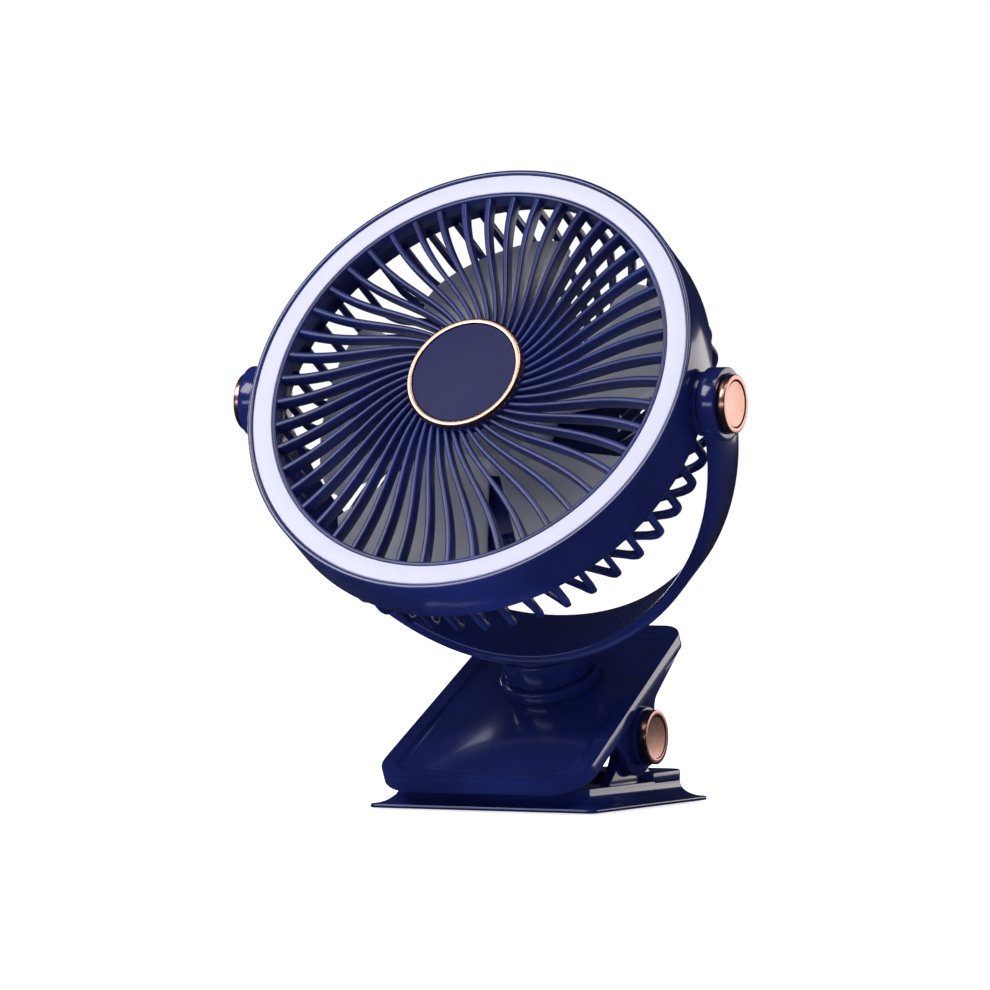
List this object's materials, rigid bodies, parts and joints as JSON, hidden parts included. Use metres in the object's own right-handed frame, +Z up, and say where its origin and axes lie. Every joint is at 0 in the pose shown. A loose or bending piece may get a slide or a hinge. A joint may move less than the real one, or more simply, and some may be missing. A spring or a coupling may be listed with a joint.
{
  "type": "clip-on camping fan",
  "caption": "Portable clip-on fan with a ring light round a swirl grille, a tilting drum head in a U yoke on a swivel, and a sprung clip with a lever that also stands flat.",
  "frame": {"origin": "middle of the base's underside, on the floor pad's face, on the surface that it stands on", "axes": "+Z up, -Y towards the fan's front, X along the hinge and tilt axes"},
  "size_m": [0.187, 0.1457, 0.2208],
  "materials": {
    "navy_gloss": "gloss",
    "navy_satin": "satin",
    "hub_blue": "satin",
    "rose_gold": "satin anodised",
    "diffuser": "frosted",
    "rubber": "matte",
    "steel": "plated",
    "grey_blade": "gloss",
    "board_white": "solder mask",
    "board_green": "solder mask",
    "chip_yellow": "phosphor",
    "alloy": "die cast",
    "copper": "enamelled wire",
    "magnet": "sintered",
    "cell_wrap": "shrink wrap",
    "black_plastic": "moulded",
    "button_grey": "satin"
  },
  "bodies": {
    "clip_base": {"base": "navy_gloss", "base_cover": "navy_satin", "floor_pad": "rubber", "lower_grip_pad": "rubber", "hinge_pin": "steel", "hinge_cap_left": "rose_gold", "hinge_cap_right": "rose_gold", "clamp_spring": "steel"},
    "lever_jaw": {"upper_jaw": "navy_gloss", "swivel_collar": "navy_gloss", "upper_grip_pad": "rubber"},
    "yoke_frame": {"yoke": "navy_gloss", "swivel_post": "navy_satin", "swivel_washer": "steel", "swivel_screw": "steel", "pivot_cap_left": "rose_gold", "pivot_cap_right": "rose_gold"},
    "fan_head": {"drum_band": "navy_gloss", "front_grille": "navy_gloss", "light_board": "board_white", "light_diffuser": "diffuser", "light_chips": "chip_yellow", "hub_disc": "hub_blue", "hub_ring": "rose_gold", "rear_cage": "navy_gloss", "motor_base": "alloy", "stator_winding": "copper", "rear_bearing": "steel", "front_bearing": "steel", "motor_screws": "steel", "pod_shell": "navy_satin", "pod_cover": "navy_satin", "cover_screws": "steel", "battery_cells": "cell_wrap", "battery_tray": "black_plastic", "control_board": "board_green", "button_switches": "black_plastic", "charging_port": "alloy", "charge_light_window": "diffuser", "pivot_washers": "rubber", "pivot_screws": "steel"},
    "rotor": {"fan_wheel": "grey_blade", "motor_shaft": "steel", "magnet_ring": "magnet", "rotor_cup": "steel", "wheel_nut": "steel"},
    "fan_button_cap": {"fan_button": "button_grey"},
    "light_button_cap": {"light_button": "button_grey"}
  },
  "joints": [
    {"name": "jaw_hinge", "type": "hinge", "parent": "clip_base", "child": "lever_jaw", "pos_m": [0, 0.0041, 0.0245], "axis": [-1, 0, 0], "range_deg": [0, 30], "stiffness_Nm_per_rad": 0.8, "springref_deg": -42.97, "deforming": ["clamp_spring"]},
    {"name": "yoke_swivel", "type": "hinge", "parent": "lever_jaw", "child": "yoke_frame", "pos_m": [0, 0.0097, 0.0443], "axis": [0, -0.4695, 0.8829], "continuous": true},
    {"name": "head_tilt", "type": "hinge", "parent": "yoke_frame", "child": "fan_head", "pos_m": [0, -0.04138, 0.14036], "axis": [1, 0, 0], "continuous": true},
    {"name": "rotor_spin", "type": "hinge", "parent": "fan_head", "child": "rotor", "pos_m": [0, -0.04138, 0.14036], "axis": [0, -0.8686, 0.4955], "continuous": true},
    {"name": "fan_button_press", "type": "slide", "parent": "fan_head", "child": "fan_button_cap", "axis": [0, -0.8686, 0.4955], "range_m": [0, 0.001], "stiffness_N_per_m": 400, "springref_m": -0.0015},
    {"name": "light_button_press", "type": "slide", "parent": "fan_head", "child": "light_button_cap", "axis": [0, -0.8686, 0.4955], "range_m": [0, 0.001], "stiffness_N_per_m": 400, "springref_m": -0.0015}
  ]
}
